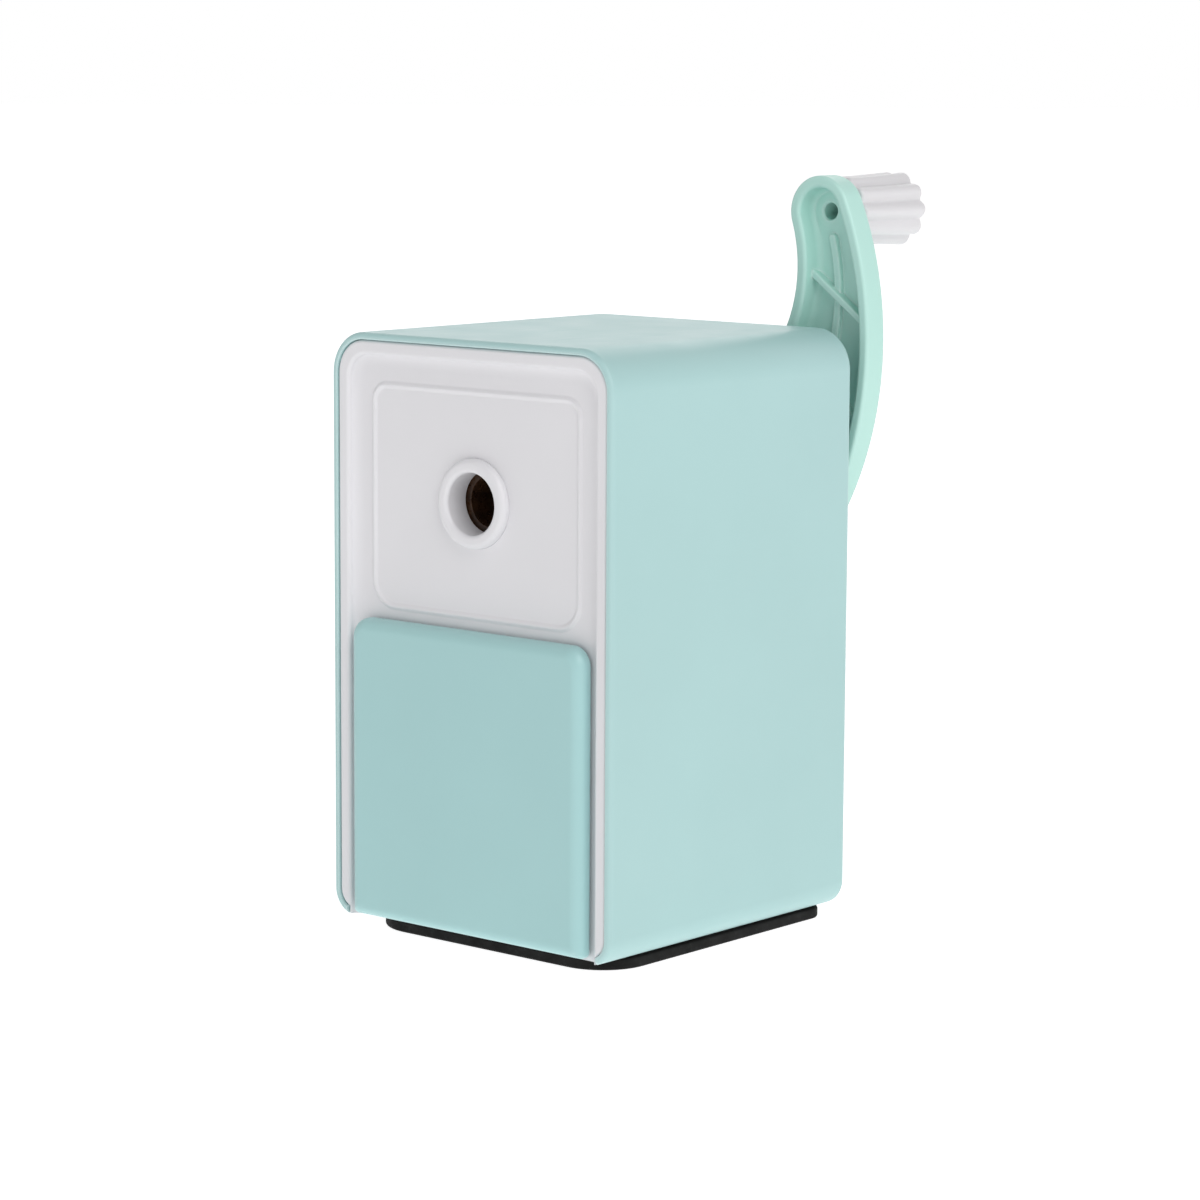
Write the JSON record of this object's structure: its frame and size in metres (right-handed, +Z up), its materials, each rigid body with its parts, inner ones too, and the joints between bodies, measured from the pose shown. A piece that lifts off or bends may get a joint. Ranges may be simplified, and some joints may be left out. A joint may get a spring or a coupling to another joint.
{
  "type": "pencil sharpener",
  "caption": "Hand-cranked desktop pencil sharpener with a box-shaped shell, planetary helical cutter, ribbed crank arm, fluted knob and pull-out shavings drawer.",
  "frame": {"origin": "centre of the underside of the base pad, on the surface that the sharpener stands on", "axes": "+Z up, -Y towards the pencil hole at the front, +Y towards the crank at the rear, +X to the right when facing the pencil hole"},
  "size_m": [0.0629, 0.091, 0.128],
  "materials": {
    "mint_shell": "satin moulded plastic",
    "mint_drawer": "satin moulded plastic",
    "mint_arm": "satin moulded plastic",
    "white_panel": "satin moulded plastic",
    "white_inner": "moulded plastic",
    "knob_white": "satin moulded plastic",
    "dark_carrier": "moulded plastic",
    "black_pad": "matte",
    "gear_steel": "sintered steel",
    "cutter_steel": "ground steel",
    "pin_steel": "ground steel",
    "screw_steel": "zinc plated",
    "brass_bush": "turned"
  },
  "bodies": {
    "housing": {"outer_shell": "mint_shell", "front_panel": "white_panel", "pencil_guide_ring": "white_panel", "base_plate": "white_panel", "base_pad": "black_pad", "gear_housing": "white_inner", "housing_cap": "white_inner", "ring_gear": "gear_steel", "shaft_bush": "brass_bush", "case_screw_1": "screw_steel", "housing_screw_1": "screw_steel", "case_screw_2": "screw_steel", "housing_screw_2": "screw_steel", "case_screw_3": "screw_steel", "housing_screw_3": "screw_steel", "case_screw_4": "screw_steel", "housing_screw_4": "screw_steel", "base_screw_1": "screw_steel", "base_screw_2": "screw_steel"},
    "crank": {"cutter_carrier": "dark_carrier", "cutter_axle": "pin_steel", "drive_shaft": "pin_steel", "shaft_pin": "pin_steel", "shaft_clip": "pin_steel", "crank_arm": "mint_arm", "crank_washer": "screw_steel", "crank_screw": "screw_steel"},
    "cutter": {"helical_cutter": "cutter_steel", "cutter_pinion": "gear_steel"},
    "knob_grip": {"knob": "knob_white"},
    "drawer": {"drawer_front": "mint_drawer", "drawer_bin": "white_inner"}
  },
  "joints": [
    {"name": "crank_spin", "type": "hinge", "parent": "housing", "child": "crank", "pos_m": [0, 0.0315, 0.0753], "axis": [0, 1, 0], "continuous": true},
    {"name": "cutter_spin", "type": "hinge", "parent": "crank", "child": "cutter", "pos_m": [0, -0.0182, 0.0654], "axis": [0, 0.9833, 0.1822], "continuous": true},
    {"name": "knob_spin", "type": "hinge", "parent": "crank", "child": "knob_grip", "pos_m": [0.02099, 0.0492, 0.12178], "axis": [0, 1, 0], "continuous": true},
    {"name": "drawer_slide", "type": "slide", "parent": "housing", "child": "drawer", "axis": [0, -1, 0], "range_m": [0, 0.045]}
  ],
  "couplings": [
    {"joint": "cutter_spin", "follows": "crank_spin", "ratio": -3}
  ]
}
